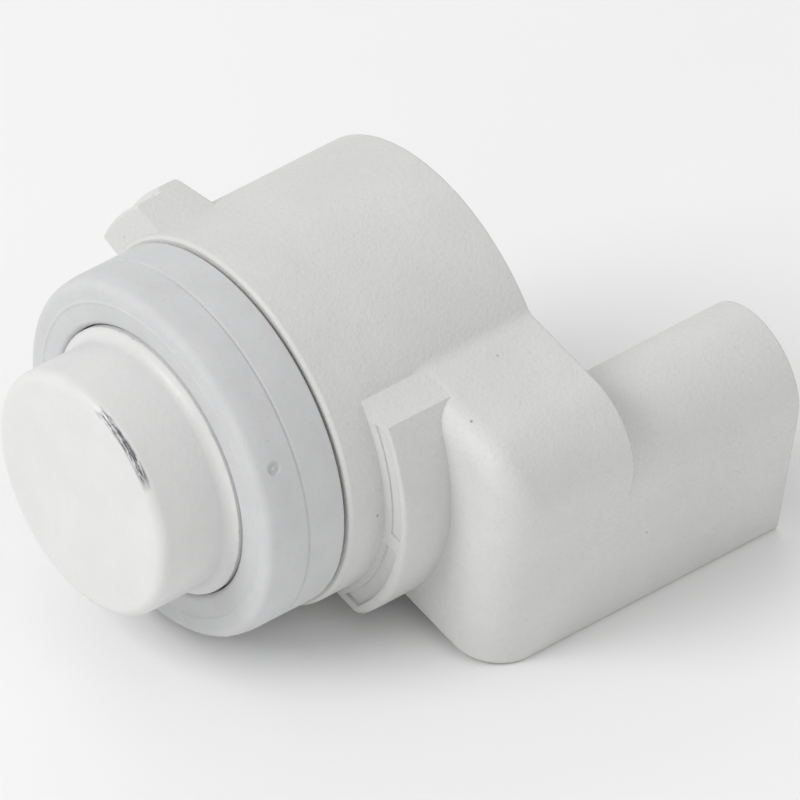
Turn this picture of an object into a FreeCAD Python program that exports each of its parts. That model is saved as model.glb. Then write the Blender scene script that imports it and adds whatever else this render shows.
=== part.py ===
import FreeCAD, Part
import math
import os

from FreeCAD import Vector

# Ultrasonic parking sensor with its plug socket beside the sensing head.
#
# Every sub-part is drawn in the sensor's own drawing axes, in millimetres:
#   X  from the sensing head towards the arm that carries the plug socket
#   Y  along the sensing axis, 0 at the membrane's outer face, growing to the rear
#   Z  square to both, 0 on the sensing axis
# At the end everything is rolled about the Y axis until the barrel and the arm's lower
# corner touch the same level plane, which is how the sensor lies on a table.  The origin
# stays at the centre of the membrane's outer face and +Z is up.

# --- driving dimensions -----------------------------------------------------------------

CUP_R = 7.77              # metal membrane cup, outside, in front of the ring
CUP_BACK_R = 8.42         # the same cup inside the ring
CUP_FLARE_Y = 4.35        # start of the flare between the two
CUP_BORE_R = 6.55
CUP_END_Y = 13.85
MEMBRANE_T = 0.75
CUP_EDGE_R = 0.68

BARREL_R = 11.69
BARREL_FRONT_Y = 10.7
REAR_Y = 25.54            # rear face of the barrel and of the arm
WALL = 1.5

ARM_X = 18.7              # outer side of the arm and of the plug socket
ARM_HALF_Z = 8.3          # half thickness of the arm
ARM_FRONT_Y = 16.5
ARM_NOSE_R = 3.15         # rounded corner between the arm's front and its outer side
ARM_SOFT_R = 1.6          # soft front edge of the arm's upper face
ARM_EDGE_R = 0.3          # long edge that the sensor lies on
ARM_ROOT_R = 1.0          # hollow round where the arm's upper face leaves the barrel

SOCKET_END_Y = 38.2
SOCKET_ARC_X = 14.38      # centre of the socket's round top
SOCKET_ARC_Z = 1.64
SOCKET_ARC_R = 4.32
SOCKET_WALL = 1.25
SOCKET_FLOOR_Y = 27.0
SOCKET_LEAD_IN = 0.3      # chamfer that guides the plug in
RIB_END_Y = SOCKET_END_Y - 1.5
RIB_T = 0.7               # keying ribs in the socket
LATCH_Y = SOCKET_END_Y - 6.0
LATCH_H = 1.1
LATCH_LOW_Z = -5.0
LATCH_W = 4.0

RING_R = 11.4             # silicone decoupling ring, outside
RING_FACE_Y = 5.08
RING_BACK_Y = 10.52
RING_EDGE_R = 0.55
RING_TAPER = 0.18         # how much the ring's front is smaller in radius
RING_TAPER_Y = 6.2        # end of the tapered front of the ring
RING_TAPER_SOFT_R = 4.0
RING_LINE_Y = 7.9         # fine moulded line round the ring
RING_GATE_ANGLE = 38.5    # where the ring was injected, from the arm upwards, in degrees

SPIGOT_R = 10.4           # neck of the housing that the ring grips
SPIGOT_BORE_R = 9.2
SPIGOT_FRONT_Y = 7.5

FIT = 0.08                # clearance between parts that slide on each other
TRAVEL = 0.3              # how far the cup can be pushed back into its sleeve

WEB_FRONT_Y = 15.3        # wall between the head's bore and the electronics
WEB_BACK_Y = 16.3
WEB_HOLE_R = 5.6
CHAMBER_R = 10.1          # electronics chamber
CHAMBER_BACK_Y = 24.3
COVER_R = 10.6
COVER_FIT = 0.05
COVER_RIM = 1.6
COVER_BOSS_R = 3.0
COVER_DISH = 0.6          # depth of the hollows between the ribs
COVER_RIB_T = 0.8
COVER_SPOKES = 3          # straight ribs, each running right across the cover
COVER_GATE_R = 0.7

BOARD_R = 9.6
BOARD_FRONT_Y = 18.3
BOARD_T = 1.0
BOARD_BACK_Y = BOARD_FRONT_Y + BOARD_T

PIEZO_R = 3.5
PIEZO_T = 0.35
FOAM_R = 6.4
FOAM_BACK_Y = 9.3
LEAD_R = 0.2
PIN_R = 0.35
PIN_Z = 2.0               # the two transducer pins stand at +Z and -Z of the axis

BLADE = 0.64              # square terminal pins in the plug socket
BLADE_PITCH = 2.54
BLADE_X = 14.35
BLADE_TIP_Y = 34.9
BLADE_MID_Z = -2.2
BLADE_TURN_Y = 21.9       # where the pins turn inwards to the board
BLADE_BOARD_X = 7.4

TRANSFORMER_X = -4.2
TRANSFORMER_Z = -4.0
TRANSFORMER_R = 2.7
TRANSFORMER_H = 3.6
DRUM_FLANGE = 0.7
DRUM_CORE_R = 1.1

RESISTOR_CIRCLE_R = 8.2   # the resistors stand in a ring, except beside the terminal pins
RESISTOR_MAX_X = 6.5

POTTING_BACK_Y = 23.5
POTTING_GAP = 0.06

LUG_R = 13.6              # lug on the arm's side
LUG_HALF_Z = 8.25
LUG_FRONT_Y = 13.17
LUG_LEAN = 0.87           # the lug's front face leans forward at the top, in degrees
LUG_ROUND_TOP_R = 0.12    # the round on the lug's front rim grows downwards
LUG_ROUND_LOW_R = 0.55
LUG_ROOT_R = BARREL_R - 0.8
POCKET_INNER_R = 12.1     # shallow pocket in the lower half of the lug's front face
POCKET_OUTER_R = 13.0
POCKET_DEPTH = 0.2
RECESS_INNER_R = 12.4     # still shallower one in its upper half
RECESS_OUTER_R = 13.2
RECESS_DEPTH = 0.1
POCKET_MARGIN = 0.6
CATCH_R = 13.85           # top of the two catch teeth on the far side
CATCH_STEP_R = 13.5       # their lower front step
CATCH_FRONT_Y = 11.35
CATCH_STEP_Y = 13.05      # end of the lower step
CATCH_BACK_Y = 14.5       # end of the top, where the steep back begins
CATCH_INNER_Z = 3.4       # half the gap between the two teeth

# --- plain shapes -----------------------------------------------------------------------

AXIS = Vector(0, 1, 0)
CENTRE = Vector(0, 0, 0)
FAR = 50.0                # beyond every part of the sensor
CLOSE = 1e-3


def block(x0, x1, y0, y1, z0, z1):
    return Part.makeBox(x1 - x0, y1 - y0, z1 - z0, Vector(x0, y0, z0))


def rod(radius, y0, y1, x=0.0, z=0.0):
    return Part.makeCylinder(radius, y1 - y0, Vector(x, y0, z), AXIS)


def tube(outer, inner, y0, y1, x=0.0, z=0.0):
    return rod(outer, y0, y1, x, z).cut(rod(inner, y0 - 1, y1 + 1, x, z))


def turned(profile):
    """A solid of revolution about the sensing axis from (radius, y) corners."""
    points = [Vector(r, y, 0) for r, y in profile]
    outline = Part.makePolygon(points + points[:1])
    return Part.Face(outline).revolve(CENTRE, AXIS, 360)


def prism(corners, height, along):
    """A straight solid from a closed flat outline of corner points."""
    outline = Part.makePolygon(corners + corners[:1])
    return Part.Face(outline).extrude(along * height)


def joined(pieces):
    solid = pieces[0].fuse(pieces[1:])
    return solid.removeSplitter()


def rounded(solid, radius, wanted):
    """Round the edges whose bounding box satisfies the test in wanted."""
    edges = [edge for edge in solid.Edges if wanted(edge.BoundBox)]
    return solid.makeFillet(radius, edges)


def bevelled(solid, size, wanted):
    edges = [edge for edge in solid.Edges if wanted(edge.BoundBox)]
    return solid.makeChamfer(size, edges)


def flat_at_y(box, y):
    return abs(box.YMin - y) < CLOSE and abs(box.YMax - y) < CLOSE


def ring_edge(y, radius):
    """Test for a full circular edge of this radius in the plane at y."""
    def wanted(box):
        across = max(abs(box.XMax - radius), abs(box.ZMax - radius))
        return flat_at_y(box, y) and across < 10 * CLOSE
    return wanted


# --- sensing head -----------------------------------------------------------------------


def membrane_cup():
    cup = turned([
        (0, 0), (CUP_R, 0), (CUP_R, CUP_FLARE_Y), (CUP_R + 0.12, CUP_FLARE_Y + 0.35),
        (CUP_R + 0.4, CUP_FLARE_Y + 0.62), (CUP_BACK_R, CUP_FLARE_Y + 0.72),
        (CUP_BACK_R, CUP_END_Y), (CUP_BORE_R, CUP_END_Y),
        (CUP_BORE_R, MEMBRANE_T + 0.5), (CUP_BORE_R - 0.5, MEMBRANE_T), (0, MEMBRANE_T),
    ])
    return rounded(cup, CUP_EDGE_R, ring_edge(0, CUP_R))


def piezo_disc():
    return rod(PIEZO_R, MEMBRANE_T, MEMBRANE_T + PIEZO_T)


def damping_foam():
    foam = rod(FOAM_R, MEMBRANE_T + PIEZO_T + 0.3, FOAM_BACK_Y)
    for z in (PIN_Z, -PIN_Z):
        foam = foam.cut(rod(0.6, 0, FOAM_BACK_Y + 1, 0, z))
    return foam


def piezo_lead(side):
    """Flexible lead from the piezo disc, soldered to a tag beside its pin in the cup."""
    beside = PIN_R + LEAD_R + 0.15
    z = side * PIN_Z
    tag_y = FOAM_BACK_Y + 0.3
    stem = rod(LEAD_R, MEMBRANE_T + PIEZO_T, tag_y, 0, z)
    tag = block(-0.3, beside + 0.3, tag_y, tag_y + 0.5, z - 0.3, z + 0.3)
    tail = rod(LEAD_R, tag_y + 0.5, tag_y + 2.0, beside, z)
    return joined([stem, tag, tail])


def transducer_sleeve():
    """Soft bush that carries the cup in the housing's bore, with a stop behind it."""
    bore = CUP_BACK_R + FIT
    outer = SPIGOT_BORE_R - 0.03
    front_y = RING_BACK_Y + 0.2
    stop_y = CUP_END_Y + TRAVEL + 0.1
    return turned([
        (bore, front_y), (outer, front_y), (outer, WEB_FRONT_Y), (CUP_BORE_R, WEB_FRONT_Y),
        (CUP_BORE_R, stop_y), (bore, stop_y),
    ])


def decoupling_ring():
    """Soft ring that hugs the cup in front and grips the housing's neck behind."""
    bore = CUP_BACK_R + FIT
    neck_y = SPIGOT_FRONT_Y - 0.2
    taper_r = RING_R - RING_TAPER
    ring = turned([
        (bore, RING_FACE_Y), (taper_r, RING_FACE_Y), (RING_R, RING_TAPER_Y), (RING_R, RING_BACK_Y),
        (SPIGOT_R + FIT, RING_BACK_Y), (SPIGOT_R + FIT, neck_y),
        (SPIGOT_BORE_R - FIT, neck_y), (SPIGOT_BORE_R - FIT, RING_BACK_Y - 0.2),
        (bore, RING_BACK_Y - 0.2),
    ])
    ring = rounded(ring, RING_EDGE_R, ring_edge(RING_FACE_Y, taper_r))
    ring = rounded(ring, 0.4, ring_edge(RING_FACE_Y, bore))
    ring = rounded(ring, 0.18, ring_edge(RING_BACK_Y, RING_R))
    ring = rounded(ring, RING_TAPER_SOFT_R, ring_edge(RING_TAPER_Y, RING_R))
    line = turned([
        (RING_R - 0.12, RING_LINE_Y), (RING_R + 0.1, RING_LINE_Y - 0.12),
        (RING_R + 0.1, RING_LINE_Y + 0.12),
    ])
    return ring.cut(line).cut(ring_gate())


def ring_gate():
    """Shallow round moulding gate on the ring, at the end of its taper."""
    angle = math.radians(RING_GATE_ANGLE)
    outwards = Vector(math.cos(angle), 0, math.sin(angle))
    floor = outwards * (RING_R - 0.16)
    floor.y = RING_TAPER_Y + 0.2
    return Part.makeCylinder(0.42, 2.0, floor, outwards)


def contact_carrier():
    """Plastic plug that holds the two transducer pins in the wall behind the head."""
    carrier = joined([
        rod(WEB_HOLE_R - COVER_FIT, FOAM_BACK_Y + 3.0, WEB_BACK_Y),
        rod(WEB_HOLE_R + 1.2, WEB_BACK_Y, WEB_BACK_Y + 1.0),
    ])
    for z in (PIN_Z, -PIN_Z):
        carrier = carrier.cut(rod(PIN_R, 0, REAR_Y, 0, z))
    return carrier


def transducer_pin(side):
    return rod(PIN_R, FOAM_BACK_Y + 1.2, BOARD_BACK_Y + 0.6, 0, side * PIN_Z)


# --- housing ----------------------------------------------------------------------------


def socket_outline(inset, y):
    """Round-topped outline of the plug socket, moved inwards by inset, at height y."""
    arc_r = SOCKET_ARC_R - inset
    left = SOCKET_ARC_X - arc_r
    right = min(ARM_X - inset, SOCKET_ARC_X + arc_r)
    bottom = -ARM_HALF_Z + inset
    arc = Part.Arc(
        Vector(left, y, SOCKET_ARC_Z),
        Vector(SOCKET_ARC_X, y, SOCKET_ARC_Z + arc_r),
        Vector(right, y, SOCKET_ARC_Z),
    )
    edges = [
        arc.toShape(),
        Part.makeLine(Vector(right, y, SOCKET_ARC_Z), Vector(right, y, bottom)),
        Part.makeLine(Vector(right, y, bottom), Vector(left, y, bottom)),
        Part.makeLine(Vector(left, y, bottom), Vector(left, y, SOCKET_ARC_Z)),
    ]
    return Part.Face(Part.Wire(edges))


def socket_prism(inset, y0, y1):
    return socket_outline(inset, y0).extrude(AXIS * (y1 - y0))


def lug(profile, half_width, side):
    """A turned collar cut down to one side of the barrel, with flat ends."""
    solid = turned(profile).common(block(-FAR, 0, 0, FAR, -half_width, half_width))
    if side > 0:
        solid.rotate(CENTRE, AXIS, 180)
    return solid


def leaning(tool):
    """Turned a little about X, as the lug's front face is."""
    tool.rotate(Vector(0, LUG_FRONT_Y, 0), Vector(1, 0, 0), LUG_LEAN)
    return tool


def lug_recess(inner_r, outer_r, depth, z_low, z_high):
    """Material to remove from the lug's front face, between two heights."""
    band = leaning(tube(outer_r, inner_r, LUG_FRONT_Y - 1, LUG_FRONT_Y + depth))
    return band.common(block(0, FAR, 0, FAR, z_low, z_high))


def arm_lug():
    """Lug on the arm's side: leaning front with two shallow hollows and a rounded rim."""
    start_y = LUG_FRONT_Y - 0.5
    end_y = ARM_FRONT_Y + ARM_SOFT_R
    solid = lug([
        (LUG_ROOT_R, start_y), (LUG_R, start_y), (LUG_R, end_y), (LUG_ROOT_R, end_y),
    ], LUG_HALF_Z, +1)
    solid = solid.cut(leaning(block(0, FAR, 0, LUG_FRONT_Y, -FAR, FAR)))

    def front_rim(box):
        curved = box.ZLength > LUG_HALF_Z and box.XMax > LUG_R - CLOSE
        return curved and box.YMax < LUG_FRONT_Y + 1

    rim = [edge for edge in solid.Edges if front_rim(edge.BoundBox)]
    solid = solid.makeFillet(LUG_ROUND_TOP_R, LUG_ROUND_LOW_R, rim)
    reach = LUG_HALF_Z - POCKET_MARGIN
    return solid.cut([
        lug_recess(POCKET_INNER_R, POCKET_OUTER_R, POCKET_DEPTH, -reach, -POCKET_MARGIN),
        lug_recess(RECESS_INNER_R, RECESS_OUTER_R, RECESS_DEPTH, POCKET_MARGIN, reach),
    ])


def catch_teeth():
    """Two teeth on the far side: a low front step, then the top that locks in a bracket."""
    foot_y = CATCH_BACK_Y + 0.8
    collar = lug([
        (LUG_ROOT_R, CATCH_FRONT_Y - 0.25), (CATCH_STEP_R - 0.15, CATCH_FRONT_Y - 0.02),
        (CATCH_STEP_R, CATCH_FRONT_Y + 0.1), (CATCH_STEP_R, CATCH_STEP_Y),
        (CATCH_R, CATCH_STEP_Y + 0.2), (CATCH_R, CATCH_BACK_Y), (CATCH_R - 0.15, CATCH_BACK_Y + 0.15),
        (BARREL_R, foot_y), (LUG_ROOT_R, foot_y),
    ], LUG_HALF_Z, -1)
    return collar.cut(block(-FAR, 0, 0, FAR, -CATCH_INNER_Z, CATCH_INNER_Z))


def barrel():
    body = joined([
        rod(BARREL_R, BARREL_FRONT_Y, REAR_Y),
        rod(SPIGOT_R, SPIGOT_FRONT_Y, BARREL_FRONT_Y + 1),
    ])
    body = bevelled(body, 0.18, ring_edge(BARREL_FRONT_Y, BARREL_R))
    return bevelled(body, 0.3, ring_edge(SPIGOT_FRONT_Y, SPIGOT_R))


def round_shouldered(x0, x1, y0, y1, z_low, z_high, radius):
    """A block whose upper outer edge, along Y, is a quarter round."""
    arc = Part.Arc(
        Vector(x1 - radius, y0, z_high),
        Vector(x1 - radius * (1 - math.sqrt(0.5)), y0, z_high - radius * (1 - math.sqrt(0.5))),
        Vector(x1, y0, z_high - radius),
    )
    edges = [
        arc.toShape(),
        Part.makeLine(Vector(x1, y0, z_high - radius), Vector(x1, y0, z_low)),
        Part.makeLine(Vector(x1, y0, z_low), Vector(x0, y0, z_low)),
        Part.makeLine(Vector(x0, y0, z_low), Vector(x0, y0, z_high)),
        Part.makeLine(Vector(x0, y0, z_high), Vector(x1 - radius, y0, z_high)),
    ]
    return Part.Face(Part.Wire(edges)).extrude(AXIS * (y1 - y0))


def arm():
    bar = round_shouldered(0, ARM_X, ARM_FRONT_Y, REAR_Y, -ARM_HALF_Z, ARM_HALF_Z, SOCKET_ARC_R)
    plan = block(0, ARM_X, ARM_FRONT_Y, REAR_Y, -ARM_HALF_Z - 1, ARM_HALF_Z + 1)

    def front_outer_corner(box):
        upright = box.ZLength > ARM_HALF_Z
        return upright and abs(box.XMax - ARM_X) < CLOSE and flat_at_y(box, ARM_FRONT_Y)

    def upper_front_edge(box):
        straight = flat_at_y(box, ARM_FRONT_Y) and abs(box.ZMin - ARM_HALF_Z) < CLOSE
        return straight and box.XMax > LUG_R

    solid = bar.common(rounded(plan, ARM_NOSE_R, front_outer_corner))
    return rounded(solid, ARM_SOFT_R, upper_front_edge)


def arm_root(box):
    """Test for the long crease between the barrel and the arm's upper face."""
    crease_x = math.sqrt(BARREL_R ** 2 - ARM_HALF_Z ** 2)
    upper = box.ZLength < CLOSE and abs(box.ZMax - ARM_HALF_Z) < CLOSE
    return upper and box.XLength < CLOSE and abs(box.XMax - crease_x) < CLOSE


def lowest_outer_edges(box):
    """Test for the edges round the lower face of the arm and the socket, out of the lug."""
    low = abs(box.ZMin + ARM_HALF_Z) < CLOSE and abs(box.ZMax + ARM_HALF_Z) < CLOSE
    outer = box.XMin > ARM_X - ARM_NOSE_R - CLOSE
    return low and outer and not flat_at_y(box, SOCKET_END_Y)


def outside():
    body = joined([barrel(), arm(), socket_prism(0, REAR_Y - 2, SOCKET_END_Y)])
    body = rounded(body, ARM_ROOT_R, arm_root)
    body = rounded(body, ARM_EDGE_R, lowest_outer_edges)
    return joined([body, arm_lug(), catch_teeth(), latch_catch()])


def blade(x, y0, y1, z):
    """A straight run of a square terminal pin."""
    half = BLADE / 2
    return block(x - half, x + half, y0, y1, z - half, z + half)


def blade_heights():
    return [BLADE_MID_Z + step * BLADE_PITCH for step in (-1, 0, 1)]


def terminal_pin(z):
    """Square pin: socket, bend inwards along the arm, bend forward into the board."""
    half = BLADE / 2
    turn_end_y = BLADE_TURN_Y + BLADE
    solid = joined([
        blade(BLADE_X, BLADE_TURN_Y, BLADE_TIP_Y, z),
        block(BLADE_BOARD_X, BLADE_X, BLADE_TURN_Y, turn_end_y, z - half, z + half),
        blade(BLADE_BOARD_X, BOARD_FRONT_Y - 0.5, turn_end_y, z),
    ])
    return bevelled(solid, 0.18, lambda box: flat_at_y(box, BLADE_TIP_Y))


def chamber():
    """The hollow of the housing that is open at the rear, and the head's bore."""
    inner_z = ARM_HALF_Z - WALL
    return [
        rod(SPIGOT_BORE_R, SPIGOT_FRONT_Y - 1, WEB_FRONT_Y),
        rod(WEB_HOLE_R, WEB_FRONT_Y - 1, WEB_BACK_Y + 1),
        rod(CHAMBER_R, WEB_BACK_Y, CHAMBER_BACK_Y + 1),
        rod(COVER_R, CHAMBER_BACK_Y, REAR_Y + 1),
        block(0, ARM_X - WALL, ARM_FRONT_Y + WALL, REAR_Y - WALL, -inner_z, inner_z),
    ]


def socket_hollow():
    """Room for the plug, less two keying ribs on the round top and one on the side."""
    hollow = socket_prism(SOCKET_WALL, SOCKET_FLOOR_Y, SOCKET_END_Y + 1)
    top = SOCKET_ARC_Z + SOCKET_ARC_R
    for x in (SOCKET_ARC_X - 1.3, SOCKET_ARC_X + 1.3):
        hollow = hollow.cut(block(x - RIB_T / 2, x + RIB_T / 2, SOCKET_FLOOR_Y, RIB_END_Y, top - 2.0, top))
    left = SOCKET_ARC_X - SOCKET_ARC_R
    reach = left + SOCKET_WALL + 0.6
    return hollow.cut(block(left, reach, SOCKET_FLOOR_Y, RIB_END_Y, BLADE_MID_Z - RIB_T, BLADE_MID_Z))


def latch_catch():
    """Ramped catch for the plug's latch, on the socket's side that faces the barrel."""
    left = SOCKET_ARC_X - SOCKET_ARC_R
    root = left + 0.3
    profile = [
        (root, LATCH_Y), (left - LATCH_H, LATCH_Y), (left - LATCH_H, LATCH_Y + 0.9),
        (root, LATCH_Y + 3.6),
    ]
    corners = [Vector(x, y, LATCH_LOW_Z) for x, y in profile]
    return prism(corners, LATCH_W, Vector(0, 0, 1))


def socket_mouth_edges(box):
    """Test for the inner edges of the socket's open end."""
    left = SOCKET_ARC_X - SOCKET_ARC_R + SOCKET_WALL
    inside = box.XMin > left - CLOSE and box.XMax < ARM_X - SOCKET_WALL + CLOSE
    return flat_at_y(box, SOCKET_END_Y) and inside and box.ZMin > -ARM_HALF_Z + SOCKET_WALL - CLOSE


def housing():
    body = outside()
    for hollow in chamber():
        body = body.cut(hollow)
    body = bevelled(body.cut(socket_hollow()), SOCKET_LEAD_IN, socket_mouth_edges)
    for z in blade_heights():
        body = body.cut(terminal_pin(z))
    return body


def rear_cover():
    """Disc welded into the rear of the barrel, dished between its rim, boss and ribs."""
    radius = COVER_R - COVER_FIT
    dish = tube(radius - COVER_RIM, COVER_BOSS_R, REAR_Y - COVER_DISH, REAR_Y + 1)
    for index in range(COVER_SPOKES):
        spoke = block(-radius, radius, CHAMBER_BACK_Y, REAR_Y + 2, -COVER_RIB_T / 2, COVER_RIB_T / 2)
        spoke.rotate(CENTRE, AXIS, 180 * index / COVER_SPOKES)
        dish = dish.cut(spoke)
    disc = rod(radius, CHAMBER_BACK_Y, REAR_Y)
    gate_dimple = rod(COVER_GATE_R, REAR_Y - COVER_DISH, REAR_Y + 1)
    return disc.cut(dish).cut(gate_dimple)


# --- electronics ------------------------------------------------------------------------


def circuit_board():
    board = rod(BOARD_R, BOARD_FRONT_Y, BOARD_BACK_Y)
    board = board.cut(block(-BOARD_R - 1, -BOARD_R + 0.6, BOARD_FRONT_Y - 1, BOARD_BACK_Y + 1, -1, 1))
    for z in (PIN_Z, -PIN_Z):
        board = board.cut(rod(PIN_R, 0, REAR_Y, 0, z))
    for z in blade_heights():
        board = board.cut(blade(BLADE_BOARD_X, 0, REAR_Y, z))
    return board


def on_board(x, z, size_x, size_z, height):
    """A component standing on the board's rear side, centred at x and z."""
    return block(x - size_x / 2, x + size_x / 2, BOARD_BACK_Y, BOARD_BACK_Y + height,
                 z - size_z / 2, z + size_z / 2)


def control_chip():
    chip = on_board(-4.6, 3.9, 5.0, 5.0, 0.9)
    mark = rod(0.3, BOARD_BACK_Y + 0.8, BOARD_BACK_Y + 2, -6.4, 5.7)
    return chip.cut(mark)


def transformer_core():
    top = BOARD_BACK_Y + TRANSFORMER_H
    place = (TRANSFORMER_X, TRANSFORMER_Z)
    return joined([
        rod(TRANSFORMER_R, BOARD_BACK_Y, BOARD_BACK_Y + DRUM_FLANGE, *place),
        rod(DRUM_CORE_R, BOARD_BACK_Y, top, *place),
        rod(TRANSFORMER_R, top - DRUM_FLANGE, top, *place),
    ])


def transformer_winding():
    return tube(TRANSFORMER_R - 0.35, DRUM_CORE_R, BOARD_BACK_Y + DRUM_FLANGE,
                BOARD_BACK_Y + TRANSFORMER_H - DRUM_FLANGE, TRANSFORMER_X, TRANSFORMER_Z)


def buffer_capacitor():
    return bevelled(on_board(3.6, 5.4, 3.5, 2.8, 1.9), 0.2,
                    lambda box: flat_at_y(box, BOARD_BACK_Y + 1.9))


def ceramic_capacitors():
    places = [(3.0, 2.4), (3.0, 0.4), (3.0, -1.6), (3.0, -3.6), (1.2, -6.6)]
    return Part.makeCompound([on_board(x, z, 1.6, 0.8, 0.8) for x, z in places])


def resistors():
    """Chip resistors in a ring on the board's front side."""
    chips = []
    for index in range(8):
        angle = math.radians(22.5 + 45 * index)
        x = RESISTOR_CIRCLE_R * math.cos(angle)
        z = RESISTOR_CIRCLE_R * math.sin(angle)
        if x < RESISTOR_MAX_X:
            front_y = BOARD_FRONT_Y - 0.35
            chips.append(block(x - 0.5, x + 0.5, front_y, BOARD_FRONT_Y, z - 0.25, z + 0.25))
    return Part.makeCompound(chips)


def solder_joints():
    """A small cone of solder round every pin, on the board's rear side."""
    cones = []
    for z in (PIN_Z, -PIN_Z):
        cone = Part.makeCone(0.85, PIN_R + 0.05, 0.45, Vector(0, BOARD_BACK_Y, z), AXIS)
        cones.append(cone.cut(rod(PIN_R, 0, REAR_Y, 0, z)))
    for z in blade_heights():
        cone = Part.makeCone(1.0, 0.5, 0.5, Vector(BLADE_BOARD_X, BOARD_BACK_Y, z), AXIS)
        cones.append(cone.cut(blade(BLADE_BOARD_X, 0, REAR_Y, z)))
    return Part.makeCompound(cones)


def potting_compound():
    """Soft filling round the components, from the board back towards the cover."""
    gap = POTTING_GAP
    inner_z = ARM_HALF_Z - WALL - gap
    fill = joined([
        rod(CHAMBER_R - gap, BOARD_BACK_Y, POTTING_BACK_Y),
        block(0, ARM_X - WALL - gap, ARM_FRONT_Y + WALL + gap, POTTING_BACK_Y, -inner_z, inner_z),
    ])
    fill = fill.cut(rod(CHAMBER_R + 0.01, WEB_BACK_Y - 1, BOARD_BACK_Y))
    inside = [
        control_chip(), transformer_core(), transformer_winding(), buffer_capacitor(),
        ceramic_capacitors(), solder_joints(), transducer_pin(+1), transducer_pin(-1),
    ]
    inside += [terminal_pin(z) for z in blade_heights()]
    for piece in inside:
        fill = fill.cut(piece)
    return fill


# --- the whole sensor -------------------------------------------------------------------


def resting_roll():
    """Roll, in degrees, that puts the barrel and the arm's rounded edge on one level."""
    across = ARM_X - ARM_EDGE_R
    down = ARM_HALF_Z - ARM_EDGE_R
    drop = BARREL_R - ARM_EDGE_R
    reach = math.hypot(across, down)
    return math.degrees(math.asin(drop / reach) - math.atan2(down, across))


def sub_parts():
    low, middle, high = blade_heights()
    return {
        "housing": housing(),
        "rear_cover": rear_cover(),
        "decoupling_ring": decoupling_ring(),
        "membrane_cup": membrane_cup(),
        "piezo_disc": piezo_disc(),
        "damping_foam": damping_foam(),
        "transducer_sleeve": transducer_sleeve(),
        "contact_carrier": contact_carrier(),
        "piezo_lead_signal": piezo_lead(+1),
        "piezo_lead_ground": piezo_lead(-1),
        "transducer_pin_signal": transducer_pin(+1),
        "transducer_pin_ground": transducer_pin(-1),
        "circuit_board": circuit_board(),
        "control_chip": control_chip(),
        "transformer_core": transformer_core(),
        "transformer_winding": transformer_winding(),
        "buffer_capacitor": buffer_capacitor(),
        "ceramic_capacitors": ceramic_capacitors(),
        "resistors": resistors(),
        "solder_joints": solder_joints(),
        "terminal_pin_ground": terminal_pin(low),
        "terminal_pin_data": terminal_pin(middle),
        "terminal_pin_supply": terminal_pin(high),
        "potting_compound": potting_compound(),
    }


os.makedirs("parts", exist_ok=True)
roll = resting_roll()
print("resting roll", round(roll, 3), "degrees")
for name, shape in sub_parts().items():
    shape.rotate(CENTRE, AXIS, roll)
    shape.exportStep(os.path.join("parts", name + ".step"))
    print(name, "solids", len(shape.Solids), "valid", shape.isValid(), "mm3", round(shape.Volume, 2))
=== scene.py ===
import math

import bmesh
import bpy
from mathutils import Matrix, Vector


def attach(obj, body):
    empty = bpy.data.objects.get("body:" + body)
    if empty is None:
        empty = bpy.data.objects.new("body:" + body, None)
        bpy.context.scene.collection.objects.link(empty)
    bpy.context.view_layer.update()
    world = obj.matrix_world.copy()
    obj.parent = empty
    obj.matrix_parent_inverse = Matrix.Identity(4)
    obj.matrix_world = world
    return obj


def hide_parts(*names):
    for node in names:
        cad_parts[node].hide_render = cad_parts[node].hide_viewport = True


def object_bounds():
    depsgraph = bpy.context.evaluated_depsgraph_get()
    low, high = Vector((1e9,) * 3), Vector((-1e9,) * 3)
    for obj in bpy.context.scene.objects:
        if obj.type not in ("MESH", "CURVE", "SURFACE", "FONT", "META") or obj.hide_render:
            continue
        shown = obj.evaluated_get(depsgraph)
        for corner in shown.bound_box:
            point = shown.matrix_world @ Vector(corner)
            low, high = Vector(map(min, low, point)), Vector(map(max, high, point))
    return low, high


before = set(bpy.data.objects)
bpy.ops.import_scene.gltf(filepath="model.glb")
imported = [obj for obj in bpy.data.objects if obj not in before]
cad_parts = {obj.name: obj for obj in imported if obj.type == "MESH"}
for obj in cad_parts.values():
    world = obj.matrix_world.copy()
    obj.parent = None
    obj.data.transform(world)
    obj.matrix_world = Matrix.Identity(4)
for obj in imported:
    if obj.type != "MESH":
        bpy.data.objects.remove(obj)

CAD_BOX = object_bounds()
MM = 0.001


def direction(azimuth, elevation):
    """Unit vector towards a place seen at these angles, in degrees; azimuth 0 is in front."""
    a, e = math.radians(azimuth), math.radians(elevation)
    return Vector((math.sin(a) * math.cos(e), -math.cos(a) * math.cos(e), math.sin(e)))


# --- camera -----------------------------------------------------------------------------

CAMERA_AZIMUTH = 51.92
CAMERA_ELEVATION = 39.45
CAMERA_ROLL = -0.71
CAMERA_DISTANCE = 1.2     # metres
CAMERA_LENS = 938.4       # millimetres
FILM_WIDTH = 36.0         # millimetres
CAMERA_AIM = Vector((8.68, 16.74, 4.02)) * MM


def make_camera():
    """A long lens, so that the view is nearly parallel."""
    back = direction(CAMERA_AZIMUTH, CAMERA_ELEVATION)
    data = bpy.data.cameras.new("camera")
    data.lens = CAMERA_LENS
    data.sensor_width = FILM_WIDTH
    data.clip_start = 0.1
    data.clip_end = 20.0
    camera = bpy.data.objects.new("camera", data)
    bpy.context.scene.collection.objects.link(camera)
    facing = back.to_track_quat("Z", "Y").to_matrix().to_4x4()
    roll = Matrix.Rotation(math.radians(CAMERA_ROLL), 4, "Z")
    camera.matrix_world = Matrix.Translation(CAMERA_AIM + back * CAMERA_DISTANCE) @ facing @ roll
    bpy.context.scene.camera = camera


# --- shapes -----------------------------------------------------------------------------

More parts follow.
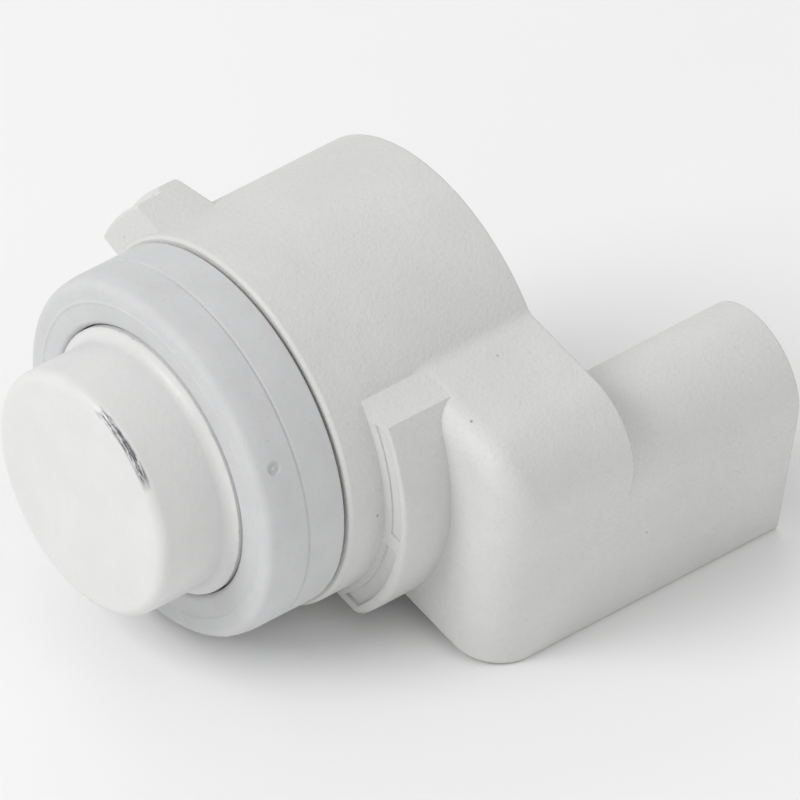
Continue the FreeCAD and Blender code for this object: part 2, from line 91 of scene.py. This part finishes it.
# The shapes below are drawn in millimetres in the sensor's own axes: X towards the arm,
# Y along the sensing axis, Z square to both.  The sensor lies rolled about Y.

ROLL = math.radians(11.09)
CUP_R = 7.77
CUP_BACK_R = 8.42
CUP_FLARE_Y = 4.35
CUP_SEAT_Y = 5.07
CUP_END_Y = 13.85
CUP_EDGE_R = 0.68
CUP_RIM_Y = 1.0           # a row of points here ends the rim that the scuff shapes
CUP_BORE_R = 6.55
CUP_CHAMFER = 0.5         # inside, between bore and membrane
MEMBRANE_T = 0.75
FLARE_STEPS = 12
FACE_RINGS = (3.0, 6.0, 6.6, 6.8, 7.0)    # radii of the rings of points on the flat face

RING_R = 11.4
RING_BORE_R = 8.5
RING_FACE_Y = 5.08
RING_BACK_Y = 10.52
RING_TAPER_Y = 6.2
RING_LINE_Y = 7.9
RING_NECK_Y = 7.3
RING_NECK_R = 10.48
RING_LIP_R = 9.12
RING_LIP_Y = 10.32
RING_TAPER = 0.18         # how much the ring's front is smaller in radius
GROOVE = 0.12             # depth, and half the width, of the fine line round the ring
FACE_LINE_R = 10.0        # faint raised line on the ring's front face
FACE_LINE_HALF = 0.15
FACE_LINE_H = 0.06
GATE_ANGLE = 38.5         # degrees from the arm upwards
GATE_Y = 6.4
GATE_R = 0.42
GATE_DEPTH = 0.16
NUB_R = 0.16              # broken-off nub in the middle of the gate
NUB_H = 0.09
GATE_SOFT = 0.08          # width of the soft edges of gate and nub
SKIN_T = 0.3              # the gate marks only this outer layer of the ring

SCUFF_START = 45.0        # degrees from the arm upwards
SCUFF_END = 90.0
SCUFF_DEPTH = 0.05
SCUFF_FADE = 8.0          # degrees over which its ends fade
SCUFF_INNER_R = 7.35      # it lies outside this radius and in front of this height
SCUFF_BACK_Y = 0.6
SCUFF_SOFT = 0.2
BARE_R = (7.38, 7.48)     # radii and heights between which the paint gives way to bare metal
BARE_Y = (0.4, 0.54)

REAR_Y = 25.54
COVER_R = 10.575
WELD_Y = REAR_Y - 0.02
WELD_HALF_W = 0.3
WELD_H = 0.17
WELD_SIDES = 10

ON_AXIS = 1e-6            # radius below which a point counts as on the axis


def rolled(x, y, z):
    """A point of the sensor's own axes, in millimetres, as a place in the frame."""
    across = x * math.cos(ROLL) + z * math.sin(ROLL)
    up = z * math.cos(ROLL) - x * math.sin(ROLL)
    return Vector((across, y, up)) * MM


def even_angles(count):
    """Angles in radians that divide a full turn."""
    return [2 * math.pi * index / count for index in range(count)]


def angles_finer_near(count, degrees, half_width, step):
    """Even angles in radians, with extra ones closer together round one place."""
    near = []
    angle = degrees - half_width
    while angle <= degrees + half_width:
        near.append(math.radians(angle))
        angle += step
    apart = 0.005
    low, high = near[0] - apart, near[-1] + apart
    far = [angle for angle in even_angles(count) if not low < angle < high]
    return sorted(near + far)


def soft_outline(corners, steps=6):
    """Closed outline from (r, y, rounding) corners, with an arc at every rounded corner."""
    points = []
    for index, (r, y, rounding) in enumerate(corners):
        here = Vector((r, y))
        if rounding == 0:
            points.append(here)
            continue
        before = Vector(corners[index - 1][:2]) - here
        after = Vector(corners[(index + 1) % len(corners)][:2]) - here
        half = before.angle(after) / 2
        before.normalize()
        after.normalize()
        centre = here + (before + after).normalized() * (rounding / math.sin(half))
        start = here + before * (rounding / math.tan(half)) - centre
        end = here + after * (rounding / math.tan(half)) - centre
        turn = start.angle_signed(end)
        for step in range(steps + 1):
            points.append(centre + Matrix.Rotation(-turn * step / steps, 2) @ start)
    return points


def divided(points, longest, low, high):
    """Add points on the outer side between two y values, until no step there is too long."""
    dense = []
    for here, there in zip(points, points[1:] + points[:1]):
        dense.append(here)
        within = low <= min(here.y, there.y) and max(here.y, there.y) <= high
        if within and min(here.x, there.x) > RING_NECK_R:
            count = math.ceil((there - here).length / longest)
            dense += [here.lerp(there, part / count) for part in range(1, count)]
    return dense


def finish_mesh(name, mesh_builder, material, body, sharp):
    """Turn a bmesh into a smooth-shaded piece that rides on a body."""
    bmesh.ops.recalc_face_normals(mesh_builder, faces=mesh_builder.faces)
    mesh = bpy.data.meshes.new(name)
    mesh_builder.to_mesh(mesh)
    mesh_builder.free()
    mesh.shade_smooth()
    mesh.set_sharp_from_angle(angle=math.radians(sharp))
    mesh.materials.append(material)
    piece = bpy.data.objects.new(name, mesh)
    bpy.context.scene.collection.objects.link(piece)
    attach(piece, body)
    return piece


def revolved(outline, angles, shaped):
    """Turn a closed (r, y) outline about the axis; shaped(r, y, angle) places each point."""
    builder = bmesh.new()
    rows = []
    for point in outline:
        if point.x < ON_AXIS:
            rows.append([builder.verts.new(rolled(0, point.y, 0))])
            continue
        row = []
        for angle in angles:
            r, y = shaped(point.x, point.y, angle)
            row.append(builder.verts.new(rolled(r * math.cos(angle), y, r * math.sin(angle))))
        rows.append(row)
    count = len(angles)
    for first, second in zip(rows, rows[1:] + rows[:1]):
        if len(first) == 1 and len(second) == 1:
            continue
        for here in range(count):
            there = (here + 1) % count
            if len(first) == 1:
                builder.faces.new((first[0], second[here], second[there]))
            elif len(second) == 1:
                builder.faces.new((first[here], second[0], first[there]))
            else:
                builder.faces.new((first[here], second[here], second[there], first[there]))
    return builder


def smooth_step(value):
    """0 up to 0, 1 from 1 on, and a smooth rise in between."""
    value = min(1.0, max(0.0, value))
    return value * value * (3 - 2 * value)


def gate_shaped(r, y, angle):
    """Press the moulding gate's round recess, with its broken-off nub, into the ring."""
    if r < RING_R - SKIN_T:
        return r, y
    aside = (angle - math.radians(GATE_ANGLE)) * RING_R
    distance = math.hypot(aside, y - GATE_Y)
    recess = smooth_step((GATE_R - distance) / GATE_SOFT)
    nub = smooth_step((NUB_R - distance) / GATE_SOFT)
    return r - GATE_DEPTH * recess + NUB_H * nub, y


def make_ring(material):
    """Soft ring: rounded front corner, faint raised line on its face, parting line, gate."""
    corners = [
        (RING_BORE_R, RING_FACE_Y, 0.4), (FACE_LINE_R - FACE_LINE_HALF, RING_FACE_Y, 0.25),
        (FACE_LINE_R, RING_FACE_Y - FACE_LINE_H, 0.12), (FACE_LINE_R + FACE_LINE_HALF, RING_FACE_Y, 0.25),
        (RING_R - RING_TAPER, RING_FACE_Y, 0.62), (RING_R, RING_TAPER_Y, 3.6),
        (RING_R, RING_LINE_Y - GROOVE, 0.04), (RING_R - GROOVE, RING_LINE_Y, 0.03),
        (RING_R, RING_LINE_Y + GROOVE, 0.04), (RING_R, RING_BACK_Y, 0.18),
        (RING_NECK_R, RING_BACK_Y, 0.1), (RING_NECK_R, RING_NECK_Y, 0.15),
        (RING_LIP_R, RING_NECK_Y, 0.15), (RING_LIP_R, RING_LIP_Y, 0.1),
        (RING_BORE_R, RING_LIP_Y, 0.1),
    ]
    fine_step = 0.06
    outline = divided(soft_outline(corners), fine_step, RING_TAPER_Y - 0.5, RING_LINE_Y - 0.1)
    angles = angles_finer_near(240, GATE_ANGLE, 3.0, 0.25)
    ring = finish_mesh("ring_skin", revolved(outline, angles, gate_shaped), material,
                       "soft_ring", sharp=60)
    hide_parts("decoupling_ring")


def scuff_shaped(r, y, angle):
    """Rub the cup's rim down a little, unevenly, between two angles."""
    degrees = math.degrees(angle)
    begun = smooth_step((degrees - SCUFF_START) / SCUFF_FADE)
    unended = smooth_step((SCUFF_END - degrees) / SCUFF_FADE)
    outside = smooth_step((r - SCUFF_INNER_R) / SCUFF_SOFT)
    in_front = smooth_step((SCUFF_BACK_Y - y) / SCUFF_SOFT)
    chatter = 0.7 + 0.2 * math.sin(angle * 61) + 0.1 * math.sin(angle * 143 + 1)
    depth = SCUFF_DEPTH * begun * unended * outside * in_front * chatter
    return r - depth * 0.6, y + depth


def make_cup(material):
    """Metal cup: flat membrane, rolled rim, trumpet flare down to its seat in the ring."""
    flare = []
    for step in range(FLARE_STEPS + 1):
        turn = math.pi / 2 * step / FLARE_STEPS
        out = (CUP_BACK_R - CUP_R) * (1 - math.cos(turn))
        down = (CUP_SEAT_Y - CUP_FLARE_Y) * math.sin(turn)
        flare.append((CUP_R + out, CUP_FLARE_Y + down, 0))
    corners = [(0, 0, 0)]
    corners += [(r, 0, 0) for r in FACE_RINGS]
    corners += [(CUP_R, 0, CUP_EDGE_R), (CUP_R, CUP_RIM_Y, 0)]
    corners += flare
    corners += [
        (CUP_BACK_R, CUP_END_Y, 0.1), (CUP_BORE_R, CUP_END_Y, 0.1),
        (CUP_BORE_R, MEMBRANE_T + CUP_CHAMFER, 0), (CUP_BORE_R - CUP_CHAMFER, MEMBRANE_T, 0),
        (0, MEMBRANE_T, 0),
    ]
    outline = soft_outline(corners, steps=14)
    cup = finish_mesh("cup_shell", revolved(outline, even_angles(360), scuff_shaped), material,
                      "transducer", sharp=50)
    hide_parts("membrane_cup")


def weld_shaped(r, y, angle):
    """Swell and shrink the weld bead unevenly on its way round."""
    swell = 1 + 0.16 * math.sin(47 * angle) + 0.1 * math.sin(131 * angle + 2)
    return COVER_R + (r - COVER_R) * swell, WELD_Y + (y - WELD_Y) * swell


def make_weld_seam(material):
    """Low uneven bead where the rear cover is welded into the barrel."""
    outline = []
    for turn in even_angles(WELD_SIDES):
        out = WELD_HALF_W * math.cos(turn)
        back = WELD_H * math.sin(turn)
        outline.append(Vector((COVER_R + out, WELD_Y + back)))
    finish_mesh("weld_seam", revolved(outline, even_angles(480), weld_shaped), material,
                "sensor_body", sharp=180)


# --- node graphs ------------------------------------------------------------------------

# A Mix node has a socket of every type under the same name, so the colour ones go by number.
MIX_AMOUNT = 0
MIX_FIRST = 6
MIX_SECOND = 7
MIX_RESULT = 2


class Graph:
    """A material's node graph, with a Principled shader to feed."""

    def __init__(self, name):
        self.material = bpy.data.materials.new(name)
        self.material.use_nodes = True
        self.nodes = self.material.node_tree.nodes
        self.links = self.material.node_tree.links
        self.nodes.clear()
        output = self.nodes.new("ShaderNodeOutputMaterial")
        self.shader = self.nodes.new("ShaderNodeBsdfPrincipled")
        self.feed(self.shader.outputs["BSDF"], output, "Surface")
        self.place = self.nodes.new("ShaderNodeTexCoord").outputs["Object"]

    def feed(self, source, node, socket):
        """Link an output to a node's input, given by name or number."""
        self.links.new(source, node.inputs[socket])

    def set(self, **values):
        """Set inputs of the shader; an underscore stands for a space in the input's name."""
        for name, value in values.items():
            self.shader.inputs[name.replace("_", " ")].default_value = value

    def stretched(self, scale):
        """Coordinates in millimetres, stretched by a factor along each axis."""
        node = self.nodes.new("ShaderNodeMapping")
        node.inputs["Scale"].default_value = [factor / MM for factor in scale]
        self.feed(self.place, node, "Vector")
        return node.outputs["Vector"]

    def noise(self, size, detail=3.0, roughness=0.55, stretch=(1, 1, 1), place=None):
        """Noise whose blobs are about size across, in millimetres or in the units of place."""
        node = self.nodes.new("ShaderNodeTexNoise")
        node.inputs["Scale"].default_value = 1.0 if place is None else 1.0 / size
        node.inputs["Detail"].default_value = detail
        node.inputs["Roughness"].default_value = roughness
        place = place or self.stretched([factor / size for factor in stretch])
        self.feed(place, node, "Vector")
        return node.outputs["Fac"]

    def cells(self, size):
        """Distance to the nearest of scattered points, which are about size apart."""
        node = self.nodes.new("ShaderNodeTexVoronoi")
        node.inputs["Scale"].default_value = 1.0
        self.feed(self.stretched([1 / size] * 3), node, "Vector")
        return node.outputs["Distance"]

    def ramp(self, source, stops):
        """Map a value to colours: stops is a list of (position, colour)."""
        node = self.nodes.new("ShaderNodeValToRGB")
        elements = node.color_ramp.elements
        while len(elements) > len(stops):
            elements.remove(elements[-1])
        while len(elements) < len(stops):
            elements.new(1.0)
        for element, (position, colour) in zip(elements, stops):
            element.position = position
            element.color = (*colour, 1.0)
        self.feed(source, node, "Fac")
        return node.outputs["Color"]

    def between(self, source, low, high, start=0.0, end=1.0):
        """Map a value from start..end to low..high."""
        node = self.nodes.new("ShaderNodeMapRange")
        node.inputs["From Min"].default_value = start
        node.inputs["From Max"].default_value = end
        node.inputs["To Min"].default_value = low
        node.inputs["To Max"].default_value = high
        self.feed(source, node, "Value")
        return node.outputs["Result"]

    def calculate(self, operation, first, second=None):
        """One arithmetic step; each operand is a number or another node's output."""
        node = self.nodes.new("ShaderNodeMath")
        node.operation = operation
        for index, value in enumerate((first, second)):
            if isinstance(value, (int, float)):
                node.inputs[index].default_value = value
            elif value is not None:
                self.feed(value, node, index)
        return node.outputs["Value"]

    def mix(self, amount, first, second):
        """Blend two colours, each a tuple or another node's output."""
        node = self.nodes.new("ShaderNodeMix")
        node.data_type = "RGBA"
        self.feed(amount, node, MIX_AMOUNT)
        for socket, value in ((MIX_FIRST, first), (MIX_SECOND, second)):
            if isinstance(value, tuple):
                node.inputs[socket].default_value = (*value, 1.0)
            else:
                self.feed(value, node, socket)
        return node.outputs[MIX_RESULT]

    def bump(self, height, depth, below=None, strength=1.0):
        """Bump of depth millimetres for a height from 0 to 1, on top of another normal."""
        node = self.nodes.new("ShaderNodeBump")
        node.inputs["Strength"].default_value = strength
        node.inputs["Distance"].default_value = depth * MM
        self.feed(height, node, "Height")
        if below is not None:
            self.feed(below, node, "Normal")
        return node.outputs["Normal"]

    def polar(self):
        """Distance from the sensing axis, angle about it and height along it, in mm and radians."""
        node = self.nodes.new("ShaderNodeSeparateXYZ")
        self.feed(self.stretched((1, 1, 1)), node, "Vector")
        x, y, z = (node.outputs[axis] for axis in "XYZ")
        squares = self.calculate("ADD", self.calculate("MULTIPLY", x, x), self.calculate("MULTIPLY", z, z))
        return self.calculate("SQRT", squares), self.calculate("ARCTAN2", z, x), y

    def combined(self, x, y, z):
        """One vector from three outputs."""
        node = self.nodes.new("ShaderNodeCombineXYZ")
        for source, axis in ((x, "X"), (y, "Y"), (z, "Z")):
            self.feed(source, node, axis)
        return node.outputs["Vector"]

    def soft_edges(self, radius):
        """Normal that rounds sharp edges by a radius in millimetres."""
        node = self.nodes.new("ShaderNodeBevel")
        node.samples = 6
        node.inputs["Radius"].default_value = radius * MM
        return node.outputs["Normal"]

    def edge_mask(self, radius, start=0.01, end=0.12):
        """1 along sharp edges, 0 on open faces."""
        geometry = self.nodes.new("ShaderNodeNewGeometry")
        dot = self.nodes.new("ShaderNodeVectorMath")
        dot.operation = "DOT_PRODUCT"
        self.feed(self.soft_edges(radius), dot, 0)
        self.feed(geometry.outputs["Normal"], dot, 1)
        apart = self.calculate("SUBTRACT", 1.0, dot.outputs["Value"])
        return self.between(apart, 0.0, 1.0, start, end)


# --- materials --------------------------------------------------------------------------

HOUSING_COLOUR = (0.69, 0.69, 0.68)
COVER_COLOUR = (0.66, 0.66, 0.65)
WELD_COLOUR = (0.60, 0.60, 0.59)
RING_COLOUR = (0.62, 0.625, 0.63)
PAINT_COLOUR = (0.73, 0.73, 0.725)
BARE_METAL = (0.13, 0.13, 0.14)


def scaled(colour, factor):
    """The colour made lighter or darker."""
    return tuple(min(1.0, channel * factor) for channel in colour)


def moulded_plastic(name, colour, rough=0.5, grain=0.24, depth=0.05, dust=True):
    """Spark-eroded grain with fine pits, faint flow clouding, rubbed edges and a few specks."""
    graph = Graph(name)
    cloud = graph.noise(5.0, detail=4.0)
    base = graph.ramp(cloud, [(0.25, scaled(colour, 0.955)), (0.75, scaled(colour, 1.02))])
    pits = graph.between(graph.noise(0.34, detail=3.0, roughness=0.7), 0.0, 0.6, 0.52, 0.7)
    base = graph.mix(pits, base, scaled(colour, 0.92))
    rubbed = graph.calculate("MULTIPLY", graph.edge_mask(0.12), graph.noise(0.8, detail=5.0))
    base = graph.mix(rubbed, base, scaled(colour, 1.08))
    if dust:
        spots = graph.between(graph.cells(2.6), 1.0, 0.0, 0.018, 0.045)
        chosen = graph.between(graph.noise(3.1, detail=0.0), 0.0, 1.0, 0.5, 0.56)
        base = graph.mix(graph.calculate("MULTIPLY", spots, chosen), base, scaled(colour, 0.42))
    graph.feed(base, graph.shader, "Base Color")
    handled = graph.noise(2.2, detail=5.0, roughness=0.65)
    handled = graph.between(handled, rough - 0.08, rough + 0.1, 0.3, 0.7)
    graph.feed(handled, graph.shader, "Roughness")
    fine = graph.noise(grain, detail=3.0, roughness=0.6)
    coarse = graph.noise(2.6, detail=2.0)
    normal = graph.bump(coarse, 0.03, graph.soft_edges(0.12))
    graph.feed(graph.bump(fine, depth, normal), graph.shader, "Normal")
    graph.set(IOR=1.5)
    return graph.material


def silicone(name, colour):
    """Matt rubber with a slight bloom, specks of dust and a little light let through."""
    graph = Graph(name)
    bloom = graph.noise(2.4, detail=5.0, roughness=0.6)
    base = graph.ramp(bloom, [(0.3, scaled(colour, 0.95)), (0.7, scaled(colour, 1.03))])
    dust = graph.between(graph.noise(0.28, detail=2.0, roughness=0.7), 0.0, 0.5, 0.66, 0.72)
    base = graph.mix(dust, base, scaled(colour, 0.75))
    graph.feed(base, graph.shader, "Base Color")
    graph.feed(graph.between(bloom, 0.55, 0.74, 0.3, 0.7), graph.shader, "Roughness")
    skin = graph.noise(0.14, detail=3.0, roughness=0.6)
    wave = graph.noise(1.6, detail=1.0)
    normal = graph.bump(wave, 0.03)
    graph.feed(graph.bump(skin, 0.012, normal), graph.shader, "Normal")
    graph.set(IOR=1.41, Subsurface_Weight=0.12, Subsurface_Scale=0.6 * MM)
    graph.set(Sheen_Weight=0.15, Sheen_Roughness=0.5)
    return graph.material


def cup_paint(name, colour):
    """Sprayed primer on metal: orange peel, dust nibs, a worn rim and one long scuff on it."""
    graph = Graph(name)
    cloud = graph.noise(3.5, detail=3.0)
    paint = graph.ramp(cloud, [(0.3, scaled(colour, 0.97)), (0.7, scaled(colour, 1.02))])
    r, angle, y = graph.polar()
    edges = graph.edge_mask(0.2, 0.004, 0.05)
    rim = graph.calculate("MULTIPLY", edges, graph.between(y, 1.0, 0.4, 1.0, 2.0))
    patches = graph.between(graph.noise(0.8, detail=6.0, roughness=0.7), 0.0, 1.0, 0.56, 0.66)
    worn = graph.calculate("MULTIPLY", rim, patches)
    start = math.radians(SCUFF_START) - ROLL
    end = math.radians(SCUFF_END) - ROLL
    begun = graph.between(angle, 0, 1, start, start + 0.15)
    unended = graph.between(angle, 1, 0, end - 0.1, end)
    ends = graph.calculate("MULTIPLY", begun, unended)
    outside = graph.between(r, 0, 1, *BARE_R)
    band = graph.calculate("MULTIPLY", outside, graph.between(y, 1, 0, *BARE_Y))
    strokes = graph.noise(0.11, detail=3.0, roughness=0.6, place=graph.combined(r, angle, y))
    scuff = graph.calculate("MULTIPLY", ends, band)
    scuff = graph.calculate("MULTIPLY", scuff, graph.between(strokes, 0.1, 1.0, 0.36, 0.54))
    worn = graph.calculate("MAXIMUM", worn, scuff)
    graph.feed(graph.mix(worn, paint, BARE_METAL), graph.shader, "Base Color")
    graph.feed(graph.between(worn, 0.0, 0.6), graph.shader, "Metallic")
    gloss = graph.between(graph.noise(1.2, detail=4.0), 0.34, 0.46, 0.3, 0.7)
    graph.feed(gloss, graph.shader, "Roughness")
    peel = graph.noise(0.4, detail=1.5)
    nibs = graph.between(graph.cells(0.9), 1.0, 0.0, 0.0, 0.09)
    normal = graph.bump(peel, 0.03)
    graph.feed(graph.bump(nibs, 0.02, normal, strength=0.6), graph.shader, "Normal")
    return graph.material


def plated_metal(name, colour, rough=0.28, stretch=(1, 0.05, 1)):
    """Bright or tinned metal with fine streaks, which run along Y unless stretch says otherwise."""
    graph = Graph(name)
    streak = graph.noise(0.05, detail=4.0, stretch=stretch)
    tarnish = graph.noise(0.8, detail=4.0)
    base = graph.ramp(tarnish, [(0.3, scaled(colour, 0.82)), (0.65, colour)])
    graph.feed(base, graph.shader, "Base Color")
    graph.feed(graph.between(streak, rough - 0.08, rough + 0.14), graph.shader, "Roughness")
    graph.feed(graph.bump(streak, 0.003), graph.shader, "Normal")
    graph.set(Metallic=1.0)
    return graph.material


def grainy(name, dark, light, grain, rough, depth):
    """Sintered, foamed or cast matter: two tones of grain with matching bump."""
    graph = Graph(name)
    speckle = graph.noise(grain, detail=5.0, roughness=0.7)
    graph.feed(graph.ramp(speckle, [(0.35, dark), (0.65, light)]), graph.shader, "Base Color")
    graph.feed(graph.between(speckle, rough - 0.1, rough + 0.1), graph.shader, "Roughness")
    graph.feed(graph.bump(speckle, depth), graph.shader, "Normal")
    return graph.material


def smooth_plastic(name, colour, rough):
    """Plastic from a polished mould: shallower grain and no specks."""
    return moulded_plastic(name, colour, rough=rough, grain=0.25, depth=0.006, dust=False)


def node_materials():
    """The material of every CAD node, by node name."""
    pin = plated_metal("tinned_pin", (0.78, 0.77, 0.74))
    epoxy = grainy("chip_epoxy", (0.012, 0.012, 0.013), (0.03, 0.03, 0.032), 0.08, 0.5, 0.004)
    return {
        "housing": moulded_plastic("housing_plastic", HOUSING_COLOUR),
        "rear_cover": smooth_plastic("cover_plastic", COVER_COLOUR, rough=0.42),
        "decoupling_ring": silicone("ring_silicone", RING_COLOUR),
        "membrane_cup": cup_paint("cup_paint", PAINT_COLOUR),
        "piezo_disc": grainy("piezo_ceramic", (0.52, 0.46, 0.34), (0.62, 0.56, 0.43), 0.1, 0.45, 0.003),
        "damping_foam": grainy("foam", (0.05, 0.05, 0.052), (0.12, 0.12, 0.125), 0.25, 0.85, 0.08),
        "transducer_sleeve": silicone("sleeve_silicone", (0.38, 0.39, 0.40)),
        "contact_carrier": moulded_plastic("carrier_plastic", (0.05, 0.05, 0.055), dust=False),
        "piezo_lead_signal": grainy("lead_red", (0.30, 0.02, 0.015), (0.42, 0.03, 0.02), 0.3, 0.4, 0.003),
        "piezo_lead_ground": grainy("lead_black", (0.01, 0.01, 0.01), (0.02, 0.02, 0.02), 0.3, 0.4, 0.003),
        "transducer_pin_signal": pin,
        "transducer_pin_ground": pin,
        "circuit_board": grainy("board_laminate", (0.01, 0.09, 0.04), (0.015, 0.13, 0.06), 0.6, 0.3, 0.004),
        "control_chip": epoxy,
        "transformer_core": grainy("ferrite", (0.03, 0.03, 0.032), (0.07, 0.07, 0.075), 0.12, 0.5, 0.01),
        "transformer_winding": plated_metal("copper_wire", (0.70, 0.32, 0.16), stretch=(1, 12, 1)),
        "buffer_capacitor": grainy(
            "capacitor_body", (0.55, 0.33, 0.04), (0.65, 0.42, 0.07), 0.2, 0.4, 0.004),
        "ceramic_capacitors": grainy(
            "capacitor_ceramic", (0.30, 0.20, 0.12), (0.38, 0.27, 0.17), 0.1, 0.4, 0.003),
        "resistors": epoxy,
        "solder_joints": plated_metal("solder", (0.76, 0.76, 0.77), rough=0.2, stretch=(1, 1, 1)),
        "terminal_pin_ground": pin,
        "terminal_pin_data": pin,
        "terminal_pin_supply": pin,
        "potting_compound": grainy("potting", (0.02, 0.02, 0.022), (0.035, 0.035, 0.038), 1.0, 0.35, 0.01),
    }


def paint_nodes(materials):
    """Give every CAD node its material."""
    for name, material in materials.items():
        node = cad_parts[name]
        node.data.materials.clear()
        node.data.materials.append(material)


# --- floor and light --------------------------------------------------------------------

FLOOR_HALF = 6.0          # metres
FLOOR_GAP = 0.02 * MM
WORLD_LIGHT = 0.64


def make_floor():
    """Plain matt floor just under the lowest point of the sensor."""
    level = CAD_BOX[0].z - FLOOR_GAP
    mesh = bpy.data.meshes.new("floor")
    corners = [(x * FLOOR_HALF, y * FLOOR_HALF, level) for x, y in ((-1, -1), (1, -1), (1, 1), (-1, 1))]
    mesh.from_pydata(corners, [], [(0, 1, 2, 3)])
    floor = bpy.data.objects.new("floor", mesh)
    bpy.context.scene.collection.objects.link(floor)
    graph = Graph("floor")
    paper = graph.noise(30.0, detail=3.0)
    tones = [(0.3, (0.93, 0.93, 0.93)), (0.7, (0.945, 0.945, 0.945))]
    graph.feed(graph.ramp(paper, tones), graph.shader, "Base Color")
    graph.set(Roughness=0.9)
    mesh.materials.append(graph.material)


def area_light(name, azimuth, elevation, distance, size, power):
    """A round soft light that looks at the object; angles in degrees, lengths in metres."""
    back = direction(azimuth, elevation)
    data = bpy.data.lights.new(name, "AREA")
    data.shape = "DISK"
    data.size = size
    data.energy = power
    light = bpy.data.objects.new(name, data)
    light.location = CAMERA_AIM + back * distance
    light.rotation_mode = "QUATERNION"
    light.rotation_quaternion = back.to_track_quat("Z", "Y")
    light.visible_camera = False
    bpy.context.scene.collection.objects.link(light)


def make_lights():
    """Soft key, fill and back light in an evenly bright white surrounding."""
    area_light("key", -15, 42, 0.6, 0.35, 1.6)
    area_light("fill", 120, 30, 0.8, 0.6, 0.25)
    area_light("back", 235, 40, 0.8, 0.6, 0.45)
    world = bpy.data.worlds.new("world")
    world.use_nodes = True
    background = world.node_tree.nodes["Background"]
    background.inputs["Color"].default_value = (1.0, 1.0, 1.0, 1.0)
    background.inputs["Strength"].default_value = WORLD_LIGHT
    bpy.context.scene.world = world
    bpy.context.scene.view_settings.view_transform = "Standard"


# --- the scene --------------------------------------------------------------------------

make_camera()
materials = node_materials()
paint_nodes(materials)
make_ring(materials["decoupling_ring"])
make_cup(materials["membrane_cup"])
make_weld_seam(smooth_plastic("weld_melt", WELD_COLOUR, rough=0.3))
make_floor()
make_lights()
